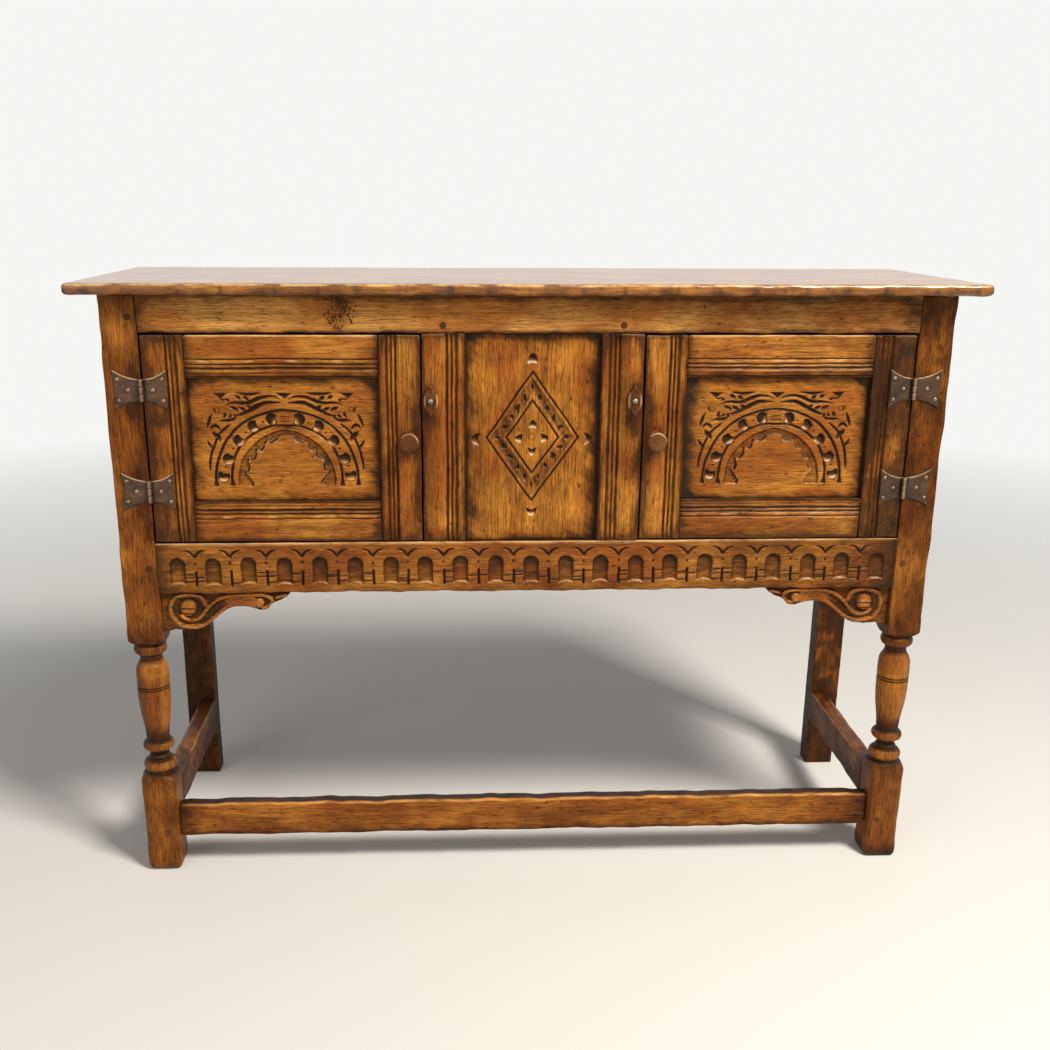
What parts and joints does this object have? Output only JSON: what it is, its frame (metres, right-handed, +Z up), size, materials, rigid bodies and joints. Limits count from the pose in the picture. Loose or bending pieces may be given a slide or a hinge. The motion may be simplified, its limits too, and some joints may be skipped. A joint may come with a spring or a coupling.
{
  "type": "side cabinet",
  "caption": "Long oak side cabinet on turned front legs, with two carved doors on surface hinges, a fixed carved centre panel and turn buttons.",
  "frame": {"origin": "centre of the footprint, on the floor", "axes": "+X to the right along the cabinet as seen from the front, +Y to the back, +Z up; the doors face -Y"},
  "size_m": [1.22, 0.38, 0.875],
  "materials": {
    "top_oak": "waxed, medium gloss, reddish brown",
    "frame_oak": "waxed honey brown oak with worn golden edges",
    "carved_panel_oak": "waxed carved oak with dark patina in the hollows",
    "leg_oak": "waxed turned and square oak",
    "inner_oak": "dry, unpolished oak",
    "peg_oak": "dark end grain",
    "turned_wood": "dark handled wood, medium gloss",
    "dark_iron": "dark patinated hinge metal with rubbed edges",
    "worn_iron": "rubbed nail heads and pins",
    "steel_screw": "worn steel"
  },
  "bodies": {
    "carcase": {"top_board": "top_oak", "front_leg_left": "leg_oak", "front_leg_right": "leg_oak", "back_leg_left": "leg_oak", "back_leg_right": "leg_oak", "front_top_rail": "frame_oak", "front_carved_rail": "frame_oak", "muntin_left": "frame_oak", "muntin_right": "frame_oak", "centre_panel": "carved_panel_oak", "side_top_rail_left": "frame_oak", "side_top_rail_right": "frame_oak", "side_bottom_rail_left": "frame_oak", "side_bottom_rail_right": "frame_oak", "side_panel_left": "frame_oak", "side_panel_right": "frame_oak", "back_top_rail": "frame_oak", "back_bottom_rail": "frame_oak", "back_boards": "inner_oak", "floor_boards": "inner_oak", "floor_bearers": "inner_oak", "front_stretcher": "leg_oak", "side_stretcher_left": "leg_oak", "side_stretcher_right": "leg_oak", "scroll_bracket_left": "frame_oak", "scroll_bracket_right": "frame_oak", "frame_pegs": "peg_oak", "door_stops": "inner_oak", "post_leaf_left_upper": "dark_iron", "post_leaf_left_lower": "dark_iron", "post_leaf_right_upper": "dark_iron", "post_leaf_right_lower": "dark_iron", "post_leaf_nails": "worn_iron", "hinge_pins": "worn_iron", "button_screws": "steel_screw"},
    "door_left": {"left_door_hinge_stile": "frame_oak", "left_door_latch_stile": "frame_oak", "left_door_top_rail": "frame_oak", "left_door_bottom_rail": "frame_oak", "left_door_panel": "carved_panel_oak", "left_door_knob": "turned_wood", "left_door_leaf_upper": "dark_iron", "left_door_leaf_lower": "dark_iron", "left_door_leaf_nails": "worn_iron"},
    "door_right": {"right_door_hinge_stile": "frame_oak", "right_door_latch_stile": "frame_oak", "right_door_top_rail": "frame_oak", "right_door_bottom_rail": "frame_oak", "right_door_panel": "carved_panel_oak", "right_door_knob": "turned_wood", "right_door_leaf_upper": "dark_iron", "right_door_leaf_lower": "dark_iron", "right_door_leaf_nails": "worn_iron"},
    "turn_button_left": {"turn_button_left": "turned_wood"},
    "turn_button_right": {"turn_button_right": "turned_wood"}
  },
  "joints": [
    {"name": "door_left_hinge", "type": "hinge", "parent": "carcase", "child": "door_left", "pos_m": [-0.525, -0.1643, 0.663], "axis": [0, 0, -1], "range_deg": [0, 160]},
    {"name": "door_right_hinge", "type": "hinge", "parent": "carcase", "child": "door_right", "pos_m": [0.525, -0.1643, 0.663], "axis": [0, 0, 1], "range_deg": [0, 160]},
    {"name": "turn_button_left_pivot", "type": "hinge", "parent": "carcase", "child": "turn_button_left", "pos_m": [-0.139, -0.165, 0.718], "axis": [0, 1, 0], "range_deg": [0, 90]},
    {"name": "turn_button_right_pivot", "type": "hinge", "parent": "carcase", "child": "turn_button_right", "pos_m": [0.139, -0.165, 0.718], "axis": [0, -1, 0], "range_deg": [0, 90]}
  ]
}
